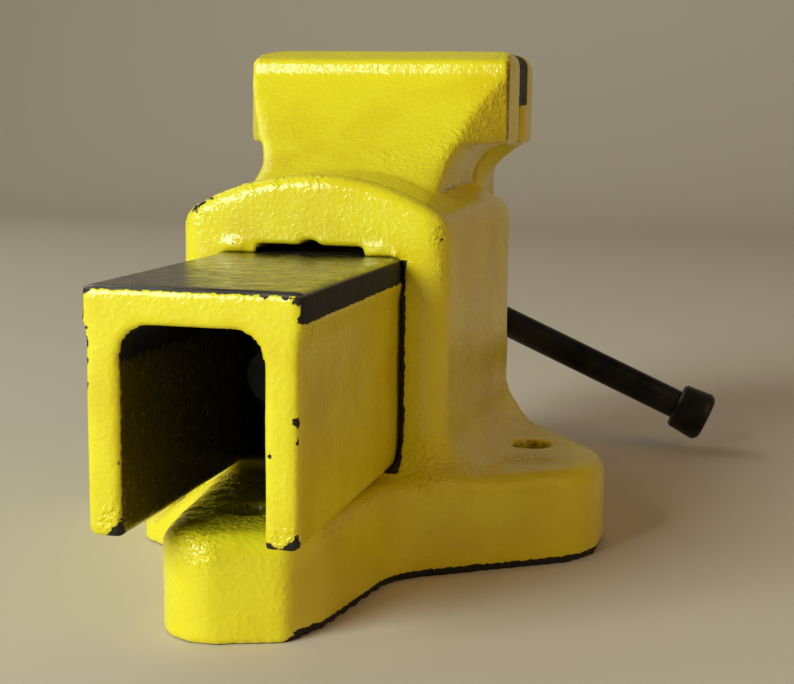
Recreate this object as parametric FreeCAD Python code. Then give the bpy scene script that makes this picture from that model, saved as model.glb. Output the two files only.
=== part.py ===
# Bench vise with 76 mm jaws, bolted to the bench through a base with three lugs.
# Millimetres. X runs across the jaws, +Y to the rear, +Z up from the bench.
# The origin is the centre of the circle of the three bolt holes, on the bench face.
import FreeCAD
import Part
import math
import os

V = FreeCAD.Vector

# Jaws
jaw_width = 76.0
jaw_top = 133.0
jaw_corner_r = 4.0
rim_height = 26.3
rim_depth = 20.5
rim_chamfer_rise = 3.3
rim_chamfer_run = 10.0
rim_foot_r = 1.5
rim_bevel_r = 2.0
rim_top_r = 3.0
plate_height = 15.0
plate_thick = 7.3
plate_bite = 0.2
plate_groove_pitch = 4.0
plate_groove_depth = 0.4
screw_inset = 16.0
screw_size = 6.0
screw_head = 11.8
screw_head_depth = 3.2
rear_screw_length = 20.0
front_screw_length = 15.0
screw_slot_width = 1.4
screw_slot_depth = 1.2
screw_hole_spare = 0.7

# Body column
body_front = -76.0
body_rear = 14.0
column_half = 36.0
column_rear_half = 35.0
column_rear_r = 6.0
column_front_r = 2.5
arch_top = 98.8
arch_r = 62.0
arch_shoulder_r = 7.0
arch_lip_r = 3.0
neck_turn_drop = 7.0
neck_sink = 6.8
neck_reach = 65.0
neck_back_r = 120.0
crease_right_foot = 26.3
crease_right_bend = 2.2
crease_left_foot = 27.5
crease_left_bend = 1.0
crease_drop = 33.0
crease_r = 4.0
crease_least_r = 0.3
neck_overlap = 1.0
throat_half = 24.0
throat_r = 12.0

# Base
base_height = 24.0
base_edge_r = 4.5
base_flare_r = 11.0
rear_lug_end = 84.0
rear_lug_left_x = 13.8
rear_lug_left_r = 13.0
rear_lug_crease_x = 0.8
rear_lug_crease_r = 5.5
rear_lug_right_x = 15.2
rear_lug_right_drop = 5.8
rear_lug_side_x = 20.0
rear_lug_side_drop = 18.0
rear_lug_side_r = 10.0
waist_left_x = 20.7
waist_right_x = 26.0
waist_reach = 14.2
waist_r = 19.0
right_lug_reach = 36.3
right_lug_back = -3.0
right_lug_front = -27.0
right_lug_r = 21.3
left_lug_reach = 34.5
left_lug_back = -12.0
left_lug_front = -30.0
left_lug_r = 15.5
left_web_reach = 16.5
left_web_y = -5.0
left_web_r = 8.0
left_toe_reach = 10.5
left_toe_y = 11.5
left_toe_r = 8.0
toe_height = 5.5
toe_run = 23.0
toe_lean_deg = 5.0
toe_reach = 44.0
toe_front = -6.8
base_front_margin = 4.0
bolt_circle_r = 59.0
bolt_hole_r = 5.5

# Tunnel and beam
slide_gap = 0.15
tunnel_floor = 25.95
tunnel_chamfer = 1.5
tunnel_relief_half = 14.5
tunnel_relief_rise = 2.35
tunnel_bump_r = 3.5
tunnel_bump_rise = 1.5
beam_top = 79.0
strip_half = 23.8
strip_height = 6.5
strip_slope_height = 4.5
leg_half = 22.8
leg_inner = 15.7
channel_top = 71.0
channel_corner_r = 6.5
beam_rear = 95.8
beam_edge_r = 1.0
beam_corner_r = 1.3

# Moving jaw
throat_gap = 7.5
block_half = 24.2
block_taper = 7.5
block_depth = 34.5
block_bottom = 22.0
block_corner_r = 6.0
front_wall = 20.0
front_rim_depth = 9.7
front_rim_chamfer_run = 5.8
front_neck_turn_drop = 10.0
front_neck_drop = 43.0
front_neck_r = 60.0
front_crease_bend = 2.0
boss_r = 19.0
boss_length = 10.0

# Screw, nut and handle
screw_z = 52.5
thread_r = 9.0
thread_pitch = 5.0
thread_depth = 2.3
thread_crest = 1.8
thread_flank_run = 0.7
thread_crest_cut = 0.1
thread_sink = 0.4
thread_start = -74.5
travel = 85.0
journal_gap = 0.05
turning_gap = 0.1
washer_bore_gap = 0.2
nut_length = 28.0
nut_front = -70.0
nut_half = 12.0
nut_top = 68.5
nut_corner_r = 6.0
nut_bolt_r = 5.0
nut_bolt_gap = 0.5
nut_bolt_tip = 38.0
nut_bolt_chamfer = 1.0
nut_hole_spare = 2.0
nut_bolt_head_flats = 16.0
nut_bolt_head_height = 6.4
counterbore_r = 10.6
counterbore_depth = 11.0
washer_outer_r = 10.0
washer_thick = 2.0
wide_washer_r = 14.5
washer_chamfer = 0.3
thrust_washer_thick = 2.5
keeper_thick = 2.5
spring_mean_r = 12.0
spring_wire_r = 1.0
spring_pitch = 3.4
spring_curls = 3.5
pin_r = 1.6
pin_gap = 0.1
pin_leg = 13.5
pin_eye_r = 2.0
pin_eye_wire_r = 1.0
pin_eye_hole_r = 1.3
pin_slit = 0.4
head_r = 13.0
head_length = 30.0
head_hole_place = 17.4
head_round = 3.0
bar_r = 5.0
bar_gap = 0.1
bar_drop_deg = 23.7
bar_stop_gap = 0.3
bar_between_knobs = 105.3
knob_neck_r = 7.7
knob_r = 8.7
knob_length = 11.7
knob_end_r = 2.6
knob_chamfer = 0.8
knob_spigot_r = 4.0
knob_spigot_length = 8.0
knob_bore_spare = 0.2

# How far a cutter reaches past the surface that it cuts through
past = 1.0

# Places that follow from the sizes above
base_front = body_front
rim_bottom = jaw_top - rim_height
neck_turn = jaw_top - neck_turn_drop
neck_bottom = arch_top - neck_sink
neck_foot = body_front + neck_reach
crease_start = jaw_top - crease_drop
front_neck_turn = jaw_top - front_neck_turn_drop
front_neck_bottom = jaw_top - front_neck_drop
waist_y = body_rear + waist_reach
right_lug_x = column_half + right_lug_reach
left_lug_x = column_half + left_lug_reach
left_web_x = column_half + left_web_reach
left_toe_x = column_half + left_toe_reach
base_front_half = column_half + base_front_margin
plate_bottom = jaw_top - plate_height
rear_plate_face = body_front - plate_thick
front_plate_face = rear_plate_face - plate_bite
front_recess = front_plate_face - plate_thick
front_rim = front_recess - front_rim_depth
jaw_face = body_front - throat_gap
block_front = jaw_face - block_depth
boss_front = block_front - boss_length
channel_front = block_front + front_wall
tunnel_half = strip_half + slide_gap
leg_bottom = tunnel_floor + slide_gap
tunnel_top = beam_top + slide_gap
strip_bottom = beam_top - strip_height
screw_tip = nut_front + nut_length + travel
thrust_back = boss_front - turning_gap
head_back = thrust_back - thrust_washer_thick
head_middle = head_back - head_hole_place
head_front = head_back - head_length
inner_washer_back = channel_front + washer_thick
spring_front = inner_washer_back + turning_gap
spring_height = spring_pitch * spring_curls + 2 * spring_wire_r
spring_back = spring_front + spring_height
washer_bore_r = thread_r + washer_bore_gap
keeper_back = spring_back + keeper_thick
pin_y = keeper_back + pin_r


def box(x0, x1, y0, y1, z0, z1):
    return Part.makeBox(x1 - x0, y1 - y0, z1 - z0, V(x0, y0, z0))


def rod_y(radius, y0, y1, x=0.0, z=screw_z):
    return Part.makeCylinder(radius, y1 - y0, V(x, y0, z), V(0, 1, 0))


def rounded_wire(corners, place):
    """Close a chain of straight runs whose corners (u, v, radius) are rounded by arcs."""
    arcs = []
    for i, (u, v, radius) in enumerate(corners):
        here = place(u, v)
        before = place(corners[i - 1][0], corners[i - 1][1])
        after_corner = corners[(i + 1) % len(corners)]
        after = place(after_corner[0], after_corner[1])
        if radius == 0:
            arcs.append((here, None, here))
            continue
        a = (before - here).normalize()
        b = (after - here).normalize()
        half = a.getAngle(b) / 2
        bisector = (a + b).normalize()
        run = radius / math.tan(half)
        middle = here + bisector * (radius / math.sin(half) - radius)
        arcs.append((here + a * run, middle, here + b * run))
    edges = []
    for i, (start, middle, end) in enumerate(arcs):
        if middle is not None:
            edges.append(Part.Arc(start, middle, end).toShape())
        following = arcs[(i + 1) % len(arcs)][0]
        edges.append(Part.LineSegment(end, following).toShape())
    return Part.Wire(edges)


def flat_prism(corners, z0, z1):
    wire = rounded_wire(corners, lambda x, y: V(x, y, z0))
    return Part.Face(wire).extrude(V(0, 0, z1 - z0))


def long_prism(corners, y0, y1):
    wire = rounded_wire(corners, lambda x, z: V(x, y0, z))
    return Part.Face(wire).extrude(V(0, y1 - y0, 0))


def side_prism(corners, x0, x1):
    wire = rounded_wire(corners, lambda y, z: V(x0, y, z))
    return Part.Face(wire).extrude(V(x1 - x0, 0, 0))


def edges_where(shape, test):
    found = []
    for edge in shape.Edges:
        first, last = edge.ParameterRange
        spots = [edge.valueAt(first + (last - first) * part) for part in (0.02, 0.5, 0.98)]
        if all(test(p) for p in spots):
            found.append(edge)
    return found


def near(a, b, slack=0.01):
    return abs(a - b) < slack


# The outline of the foot. The left lug is narrower and a low toe joins it to the rear arm,
# whose end is faceted: two upright creases show on it.
def foot_outline():
    right = [
        (rear_lug_crease_x, rear_lug_end, rear_lug_crease_r),
        (-rear_lug_right_x, rear_lug_end - rear_lug_right_drop, rear_lug_crease_r),
        (-rear_lug_side_x, rear_lug_end - rear_lug_side_drop, rear_lug_side_r),
        (-waist_right_x, waist_y, waist_r),
        (-right_lug_x, right_lug_back, right_lug_r),
        (-right_lug_x, right_lug_front, right_lug_r),
        (-base_front_half, base_front, 0),
    ]
    left = [
        (base_front_half, base_front, 0),
        (left_lug_x, left_lug_front, left_lug_r),
        (left_lug_x, left_lug_back, left_lug_r),
        (left_web_x, left_web_y, left_web_r),
        (left_toe_x, left_toe_y, left_toe_r),
        (waist_left_x, waist_y, waist_r),
        (rear_lug_left_x, rear_lug_end, rear_lug_left_r),
    ]
    return right + left


def column_half_at(y):
    """Half-width of the column, which tapers a little to the rear."""
    return column_half + (column_rear_half - column_half) * (y - body_front) / (body_rear - body_front)


def column_prism(front, front_r, z0, z1):
    half = column_half_at(front)
    return flat_prism([
        (-half, front, front_r),
        (half, front, front_r),
        (column_rear_half, body_rear, column_rear_r),
        (-column_rear_half, body_rear, column_rear_r),
    ], z0, z1)


def make_base():
    """The foot: lugs with a rounded rim, sweeping up into the column's sides."""
    reach = 3 * bolt_circle_r
    slab = box(-reach, reach, -reach, reach, 0, base_height)
    core = column_prism(-reach, 0, 0, 3 * base_height)
    swept = slab.fuse(core).removeSplitter()
    corner = edges_where(swept, lambda p: near(p.z, base_height) and abs(p.x) < column_half_at(-reach) + past
                         and -reach < p.y < body_rear + past)
    swept = swept.makeFillet(base_flare_r, corner)
    foot = flat_prism(foot_outline(), 0, 2 * base_height)
    base = swept.common(foot)
    inside = flat_prism(foot_outline(), -base_height, 3 * base_height)
    wall = [f for f in inside.Faces if abs(f.normalAt(0, 0).z) < 0.5]
    shell = Part.Compound(wall)
    def on_rim(p):
        if p.z < base_height - 0.01 or near(p.y, base_front):
            return False
        return shell.distToShape(Part.Vertex(p))[0] < 0.01
    rim = edges_where(base, on_rim)
    base = base.makeFillet(base_edge_r, rim)
    return base.cut(toe_cut())


def toe_cut():
    """The low toe at the left: a ramp falls away from the rear arm to a thin rim."""
    lean = math.radians(toe_lean_deg)
    out = V(math.cos(lean), math.sin(lean), 0)
    along = V(-out.y, out.x, 0)
    climb = base_height + base_flare_r + past - toe_height
    run = climb * toe_run / (base_height - toe_height)
    low = out * toe_reach + V(0, 0, toe_height)
    high = low - out * run + V(0, 0, climb)
    outer = low + out * toe_reach
    ramp = Part.makePolygon([high, low, outer, outer + V(0, 0, climb), high])
    wedge = Part.Face(ramp).extrude(along * (4 * toe_reach))
    wedge.translate(along * (-2 * toe_reach))
    limit = box(0, 2 * toe_reach, toe_front, 2 * toe_reach, 0, 3 * base_height)
    return wedge.common(limit).cut(column_prism(body_front, 0, 0, 3 * base_height))


def make_column():
    plan = column_prism(body_front, column_front_r, base_height / 2, arch_top + past)
    centre_z = arch_top - arch_r
    side_top = centre_z + math.sqrt(arch_r ** 2 - column_half ** 2)
    rear_top = centre_z + math.sqrt(arch_r ** 2 - column_rear_half ** 2)
    ahead = body_front - past
    behind = body_rear + past
    crown = rod_y(arch_r, ahead, behind, z=centre_z)
    lower = box(-arch_r, arch_r, ahead, behind, 0, side_top - 2 * arch_shoulder_r)
    sides = flat_prism([
        (-column_half_at(ahead), ahead, 0),
        (column_half_at(ahead), ahead, 0),
        (column_half_at(behind), behind, 0),
        (-column_half_at(behind), behind, 0),
    ], 0, arch_top + past)
    arch = crown.fuse(lower).common(sides)
    shoulders = edges_where(arch, lambda p: near(abs(p.x), column_half_at(p.y))
                            and side_top - past < p.z < rear_top + past)
    arch = arch.makeFillet(arch_shoulder_r, shoulders)
    column = plan.common(arch).removeSplitter()
    lip = edges_where(column, lambda p: near(p.y, body_rear) and p.z > side_top - 2 * arch_shoulder_r
                      and abs(p.x) < column_rear_half - column_rear_r + 0.01)
    return column.makeFillet(arch_lip_r, [e for e in lip if e.Length > column_rear_r])


def neck_section(z, y_face, y_rim, y_crease, face_half, rim_half, left_half, right_half, corner_r):
    return rounded_wire([
        (-face_half, y_face, 0),
        (face_half, y_face, 0),
        (rim_half, y_rim, 0),
        (left_half, y_crease, corner_r),
        (-right_half, y_crease, corner_r),
        (-rim_half, y_rim, 0),
    ], lambda x, y: V(x, y, z))


def throat(z):
    """Half-width of a neck at its face, which sweeps out under the rim by a quarter circle."""
    drop = min(max(rim_bottom - z, 0.0), throat_r)
    return throat_half + throat_r - math.sqrt(throat_r ** 2 - (throat_r - drop) ** 2)


def share(z, z_from, z_to):
    return min(max(z - z_from, 0.0) / (z_to - z_from), 1.0)


def widening(z, z_from, z_to, half_from, bend):
    """Half-width that grows up to the jaw's full width, ever faster where bend is over 1."""
    return half_from + (jaw_width / 2 - half_from) * share(z, z_from, z_to) ** bend


def hollow_back(top, foot, radius):
    """The slightly hollow slope of a neck's back, from its top to its foot, both (y, z)."""
    away = math.copysign(1, foot[0] - top[0])
    run = abs(foot[0] - top[0])
    fall = top[1] - foot[1]
    chord = math.hypot(run, fall)
    lift = math.sqrt(radius ** 2 - chord ** 2 / 4)
    centre_run = run / 2 + fall / chord * lift
    centre_z = (top[1] + foot[1]) / 2 + run / chord * lift
    return lambda z: top[0] + away * (centre_run - math.sqrt(radius ** 2 - (centre_z - z) ** 2))


def loft_throat(low, section):
    """The part under the rim: level sections that crowd towards the top, where the throat turns."""
    count = 8
    crowding = 1.6
    levels = [low + (rim_bottom - low) * (1 - (1 - i / count) ** crowding) for i in range(count + 1)]
    return Part.makeLoft([section(z) for z in levels + [rim_bottom + neck_overlap]], True, True)


def loft_back(high, section):
    """The part beside the rim: a smooth loft."""
    count = 6
    levels = [rim_bottom + (high - rim_bottom) * i / count for i in range(count + 1)]
    return Part.makeLoft([section(z) for z in levels], True, False)


def rear_neck():
    rim_back = body_front + rim_depth
    back = hollow_back((rim_back, neck_turn), (neck_foot, neck_bottom), neck_back_r)
    full = jaw_width / 2
    def corner(z):
        return crease_r * (1 - share(z, crease_start, neck_turn)) + crease_least_r
    def creases(z):
        left = widening(z, crease_start, neck_turn, crease_left_foot, crease_left_bend)
        right = widening(z, crease_start, neck_turn, crease_right_foot, crease_right_bend)
        return left, right
    def lower(z):
        return neck_section(z, body_front, rim_back, back(z), throat(z), throat(z), *creases(z), corner(z))
    def upper(z):
        rim = rim_back - 2 * crease_least_r
        return neck_section(z, body_front, rim, back(z), full, full, *creases(z), corner(z))
    return [loft_throat(neck_bottom, lower), loft_back(neck_turn, upper)]


def front_neck():
    back = hollow_back((front_rim, front_neck_turn), (block_front, front_neck_bottom), front_neck_r)
    middle = jaw_face - block_taper
    full = jaw_width / 2
    def corner(z):
        return block_corner_r * (1 - share(z, front_neck_bottom, front_neck_turn)) + crease_least_r
    def lower(z):
        side = widening(z, front_neck_bottom, rim_bottom, block_half, front_crease_bend)
        crease = widening(z, front_neck_bottom, front_neck_turn, block_half, front_crease_bend)
        return neck_section(z, jaw_face, middle, back(z), throat(z), side, crease, crease, corner(z))
    def upper(z):
        crease = widening(z, front_neck_bottom, front_neck_turn, block_half, front_crease_bend)
        rim = front_rim + 2 * crease_least_r
        return neck_section(z, jaw_face, rim, back(z), full, full, crease, crease, corner(z))
    return [loft_throat(front_neck_bottom, lower), loft_back(front_neck_turn, upper)]


def rim_block(y_face, y_back, bevel_run):
    """A jaw's rim, its back edge beveled and its top corners rounded."""
    side = side_prism([
        (y_face, rim_bottom, 0),
        (y_back, rim_bottom, rim_foot_r),
        (y_back, jaw_top - rim_chamfer_rise, rim_bevel_r),
        (y_back - math.copysign(bevel_run, y_back - y_face), jaw_top, rim_top_r),
        (y_face, jaw_top, 0),
    ], -jaw_width, jaw_width)
    return side.common(front_outline(min(y_face, y_back), max(y_face, y_back)))


def front_outline(y0, y1, z0=None):
    bottom = rim_bottom if z0 is None else z0
    half = jaw_width / 2
    return long_prism([
        (-half, bottom, 0),
        (half, bottom, 0),
        (half, jaw_top, jaw_corner_r),
        (-half, jaw_top, jaw_corner_r),
    ], y0, y1)


def plate_screw_places():
    return [(side * (jaw_width / 2 - screw_inset), plate_bottom + plate_height / 2) for side in (-1, 1)]


def bolt_places():
    return [(bolt_circle_r * math.cos(math.radians(a)), bolt_circle_r * math.sin(math.radians(a)))
            for a in (90, 210, 330)]


def make_body():
    rim_back = body_front + rim_depth
    body = make_base().fuse(make_column())
    throat_part, back_part = rear_neck()
    rim = rim_block(body_front, rim_back, rim_chamfer_run)
    body = body.fuse(throat_part).fuse(back_part.fuse(rim))
    tunnel = long_prism([
        (-tunnel_half, tunnel_floor, tunnel_chamfer),
        (tunnel_half, tunnel_floor, tunnel_chamfer),
        (tunnel_half, tunnel_top, 0),
        (-tunnel_half, tunnel_top, 0),
    ], body_front - past, beam_rear)
    relief_top = tunnel_top + tunnel_relief_rise
    relief = box(-tunnel_relief_half, tunnel_relief_half, body_front - past, body_rear + past,
                 tunnel_top - past, relief_top)
    bump_z = relief_top + tunnel_bump_rise - tunnel_bump_r
    bump = rod_y(tunnel_bump_r, body_front - past, body_rear + past, z=bump_z)
    cuts = [tunnel, relief, bump]
    for x, y in bolt_places():
        cuts.append(Part.makeCylinder(bolt_hole_r, 3 * base_height, V(x, y, -past)))
    nut_y = nut_front + nut_length / 2
    cuts.append(Part.makeCylinder(counterbore_r, counterbore_depth + past, V(0, nut_y, -past)))
    cuts.append(Part.makeCylinder(nut_bolt_r + nut_bolt_gap, tunnel_floor, V(0, nut_y, past)))
    for x, z in plate_screw_places():
        depth = rear_screw_length - plate_thick + screw_hole_spare
        cuts.append(rod_y(screw_size / 2 + journal_gap, body_front - past, body_front + depth, x, z))
    for cut in cuts:
        body = body.cut(cut)
    return body


def make_jaw():
    middle = jaw_face - block_taper
    plan = neck_section(block_bottom, jaw_face, middle, block_front, throat_half, block_half,
                        block_half, block_half, block_corner_r + crease_least_r)
    block = Part.Face(plan).extrude(V(0, 0, front_neck_bottom - block_bottom))
    beam = long_prism([
        (-leg_half, leg_bottom, beam_corner_r),
        (leg_half, leg_bottom, beam_corner_r),
        (leg_half, strip_bottom - strip_slope_height, 0),
        (strip_half, strip_bottom, 0),
        (strip_half, beam_top, beam_corner_r),
        (-strip_half, beam_top, beam_corner_r),
        (-strip_half, strip_bottom, 0),
        (-leg_half, strip_bottom - strip_slope_height, 0),
    ], jaw_face - past, beam_rear)
    boss = rod_y(boss_r, boss_front, block_front + past)
    jaw = block.fuse([beam, boss] + front_neck())
    jaw = jaw.fuse(rim_block(jaw_face, front_rim, front_rim_chamfer_run))
    half = jaw_width
    cuts = [box(-half, half, front_recess, jaw_face + past, plate_bottom, jaw_top + past)]
    cuts.append(long_prism([
        (-leg_inner, block_bottom - past, 0),
        (leg_inner, block_bottom - past, 0),
        (leg_inner, channel_top, channel_corner_r),
        (-leg_inner, channel_top, channel_corner_r),
    ], channel_front, beam_rear + past))
    cuts.append(rod_y(thread_r + journal_gap, boss_front - past, channel_front + past))
    for x, z in plate_screw_places():
        depth = front_screw_length - plate_thick + screw_hole_spare
        cuts.append(rod_y(screw_size / 2 + journal_gap, front_recess - depth, front_recess + past, x, z))
    for cut in cuts:
        jaw = jaw.cut(cut)
    jaw = jaw.removeSplitter()
    rear_end = edges_where(jaw, lambda p: near(p.y, beam_rear) and not inside_channel(p))
    return jaw.makeFillet(beam_edge_r, rear_end)


def inside_channel(p):
    return abs(p.x) < leg_inner + 0.01 and p.z < channel_top + 0.01


def countersink(y_face, into, x, z, slack):
    """The cone of a countersunk head whose top lies in the plate's working face."""
    deep = screw_head_depth
    tip = screw_size / 2 + slack
    wide = screw_head / 2 + slack
    return Part.makeCone(wide, tip, deep, V(x, y_face, z), V(0, into, 0))


def crossed_grooves(y_face):
    """V grooves that cross at a right angle and give the plate's face its grip."""
    deep = plate_groove_depth
    reach = jaw_width
    cutters = []
    for slope in (1, -1):
        run = V(1, 0, slope).normalize()
        step = V(-run.z, 0, run.x)
        count = int((jaw_width + plate_height) / plate_groove_pitch / math.sqrt(2) / 2) + 1
        for i in range(-count, count + 1):
            middle = V(0, y_face, plate_bottom + plate_height / 2)
            start = middle + step * ((i + 0.5) * plate_groove_pitch) - run * reach
            deeper = V(0, deep, 0)
            corners = [start - step * deep, start + deeper, start + step * deep, start - deeper]
            ring = Part.makePolygon(corners + [corners[0]])
            cutters.append(Part.Face(ring).extrude(run * (2 * reach)))
    return cutters


def make_plate(y_face, y_back):
    into = 1 if y_back > y_face else -1
    plate = front_outline(min(y_face, y_back), max(y_face, y_back), plate_bottom)
    plate = plate.cut(crossed_grooves(y_face))
    for x, z in plate_screw_places():
        plate = plate.cut(countersink(y_face, into, x, z, journal_gap))
        plate = plate.cut(rod_y(screw_size / 2 + journal_gap, min(y_face, y_back) - past,
                                max(y_face, y_back) + past, x, z))
    return plate


def make_plate_screw(y_face, into, length, x, z):
    head = countersink(y_face, into, x, z, 0)
    shank = Part.makeCylinder(screw_size / 2, length, V(x, y_face, z), V(0, into, 0))
    screw = head.fuse(shank)
    slot = box(x - screw_head, x + screw_head, -screw_slot_depth, screw_slot_depth,
               z - screw_slot_width / 2, z + screw_slot_width / 2)
    slot.translate(V(0, y_face, 0))
    return screw.cut(slot)


def make_nut():
    y0 = nut_front
    y1 = nut_front + nut_length
    nut = long_prism([
        (-nut_half, tunnel_floor, 0),
        (nut_half, tunnel_floor, 0),
        (nut_half, nut_top, nut_corner_r),
        (-nut_half, nut_top, nut_corner_r),
    ], y0, y1)
    nut = nut.cut(rod_y(thread_r + journal_gap, y0 - past, y1 + past))
    middle = (y0 + y1) / 2
    hole = Part.makeCylinder(nut_bolt_r + journal_gap, nut_bolt_tip + nut_hole_spare - tunnel_floor + past,
                             V(0, middle, tunnel_floor - past))
    return nut.cut(hole)


def make_nut_bolt():
    middle = nut_front + nut_length / 2
    seat = counterbore_depth - washer_thick
    head_bottom = seat - nut_bolt_head_height
    corner = nut_bolt_head_flats / math.sqrt(3)
    ring = [V(corner * math.cos(math.radians(60 * i)), middle + corner * math.sin(math.radians(60 * i)),
              head_bottom) for i in range(7)]
    head = Part.Face(Part.makePolygon(ring)).extrude(V(0, 0, nut_bolt_head_height))
    trim_r = corner - nut_bolt_chamfer
    trim = Part.makeCone(trim_r, trim_r + 2 * nut_bolt_head_height, nut_bolt_head_height,
                         V(0, middle, head_bottom))
    shank = Part.makeCylinder(nut_bolt_r, nut_bolt_tip - seat + past, V(0, middle, seat - past))
    point = edges_where(shank, lambda p: near(p.z, nut_bolt_tip))
    return head.common(trim).fuse(shank.makeChamfer(nut_bolt_chamfer, point))


def ring_z(inner, outer, thick, x, y, z):
    tube = Part.makeCylinder(outer, thick, V(x, y, z))
    return tube.cut(Part.makeCylinder(inner, thick + 2 * past, V(x, y, z - past)))


def ring_y(inner, outer, y0, y1):
    ring = rod_y(outer, y0, y1).cut(rod_y(inner, y0 - past, y1 + past))
    rims = edges_where(ring, lambda p: near(math.hypot(p.x, p.z - screw_z), outer))
    return ring.makeChamfer(washer_chamfer, [e for e in rims if near(e.valueAt(e.FirstParameter).y, y0)
                                             or near(e.valueAt(e.FirstParameter).y, y1)])


def bar_axis():
    drop = math.radians(bar_drop_deg)
    return V(-math.cos(drop), 0, -math.sin(drop))


def on_bar(distance):
    return V(0, head_middle, screw_z) + bar_axis() * distance


def thread_ridge():
    """One helical ridge of trapezium section, right-handed, longer than the screw's threaded end."""
    root = thread_r - thread_depth
    crest = thread_r - thread_crest_cut
    sunk = root - thread_sink
    half = thread_crest / 2
    foot = half + thread_flank_run
    path = Part.makeHelix(thread_pitch, screw_tip - thread_start + 2 * thread_pitch, root)
    ring = Part.makePolygon([V(sunk, 0, -foot), V(crest, 0, -half), V(crest, 0, half), V(sunk, 0, foot),
                             V(sunk, 0, -foot)])
    sweep = Part.BRepOffsetAPI.MakePipeShell(path)
    sweep.setBiNormalMode(V(0, 0, 1))
    sweep.add(ring)
    sweep.build()
    sweep.makeSolid()
    ridge = sweep.shape()
    ridge.rotate(V(0, 0, 0), V(1, 0, 0), -90)
    ridge.translate(V(0, thread_start - thread_pitch, screw_z))
    return ridge


def make_screw():
    """Head with its cross hole, journal through the jaw, and the threaded end."""
    head = rod_y(head_r, head_front, head_back)
    ends = edges_where(head, lambda p: near(math.hypot(p.x, p.z - screw_z), head_r)
                       and (near(p.y, head_front) or near(p.y, head_back)))
    head = head.makeFillet(head_round, ends)
    journal = rod_y(thread_r, head_back - past, thread_start)
    core = rod_y(thread_r - thread_depth, thread_start - 3 * thread_pitch, screw_tip + 3 * thread_pitch)
    limit = rod_y(thread_r + past, thread_start - past, screw_tip)
    tip = edges_where(limit, lambda p: near(p.y, screw_tip))
    limit = limit.makeChamfer(thread_depth + past, tip)
    screw = core.fuse(thread_ridge()).common(limit)
    screw = screw.fuse(journal).fuse(head)
    axis = bar_axis()
    hole = Part.makeCylinder(bar_r + bar_gap, 4 * head_r, on_bar(-2 * head_r), axis)
    screw = screw.cut(hole)
    pin_hole = Part.makeCylinder(pin_r + pin_gap, 4 * thread_r, V(0, pin_y, screw_z - 2 * thread_r))
    return screw.cut(pin_hole)


def spring_point(turn):
    angle = 2 * math.pi * turn
    y = spring_front + spring_wire_r + spring_pitch * turn
    return V(spring_mean_r * math.cos(angle), y, screw_z + spring_mean_r * math.sin(angle))


def spring_heading(turn):
    angle = 2 * math.pi * turn
    step = 2 * math.pi * spring_mean_r
    return V(-step * math.sin(angle), spring_pitch, step * math.cos(angle)).normalize()


def arc_from(start, corner, end):
    """The arc from start to end whose tangents meet at corner, which is equally far from both."""
    chord_middle = (start + end) * 0.5
    rise = corner - chord_middle
    half_chord = (end - start).Length / 2
    lean = math.atan2(rise.Length, half_chord)
    return Part.Arc(start, chord_middle + rise.normalize() * half_chord * math.tan(lean / 2), end)


def biarc(p0, t0, p1, t1):
    span = p1 - p0
    both = t0 + t1
    spread = 2 * (1 - t0.dot(t1))
    reach = (-span.dot(both) + math.sqrt(span.dot(both) ** 2 + spread * span.dot(span))) / spread
    a = p0 + t0 * reach
    b = p1 - t1 * reach
    joint = (a + b) * 0.5
    return [arc_from(p0, a, joint).toShape(), arc_from(joint, b, p1).toShape()]


def make_spring():
    edges = []
    quarters = int(round(spring_curls * 4))
    for i in range(quarters):
        here = i / 4
        there = (i + 1) / 4
        edges += biarc(spring_point(here), spring_heading(here), spring_point(there), spring_heading(there))
    path = Part.Wire(edges)
    ring = Part.Wire(Part.makeCircle(spring_wire_r, spring_point(0), spring_heading(0)))
    spring = path.makePipeShell([ring], True, False)
    least = spring_pitch - 2 * spring_wire_r
    samples = 36
    points = [spring_point(i / samples) for i in range(int(spring_curls * samples) + 1)]
    for i, p in enumerate(points):
        for q in points[i + samples // 2:]:
            least = min(least, (p - q).Length - 2 * spring_wire_r)
    print("spring: least gap to itself", round(least, 2), "mm, curls", spring_curls)
    return spring


def make_split_pin():
    """A folded pin: a round leg, slit from its point, and an eye at its top."""
    leg = Part.makeCylinder(pin_r, 2 * pin_leg - pin_eye_r, V(0, pin_y, screw_z - pin_leg))
    slit = box(-2 * pin_r, 2 * pin_r, pin_y - pin_slit / 2, pin_y + pin_slit / 2,
               screw_z - 2 * pin_leg, screw_z)
    eye_z = screw_z + pin_leg - pin_eye_r / 2
    eye = Part.makeTorus(pin_eye_r, pin_eye_wire_r, V(0, pin_y, eye_z), V(0, 1, 0))
    hollow = Part.makeCylinder(pin_eye_hole_r, 4 * pin_r, V(0, pin_y - 2 * pin_r, eye_z), V(0, 1, 0))
    return leg.cut(slit).fuse(eye).cut(hollow)


lower_knob_face = bar_between_knobs - head_r - bar_stop_gap
upper_knob_face = -head_r - bar_stop_gap


def make_bar():
    axis = bar_axis()
    bar = Part.makeCylinder(bar_r, lower_knob_face - upper_knob_face, on_bar(upper_knob_face), axis)
    whole = bar_between_knobs + 2 * knob_spigot_length
    spigots = Part.makeCylinder(knob_spigot_r, whole, on_bar(upper_knob_face - knob_spigot_length), axis)
    return bar.fuse(spigots)


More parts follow.
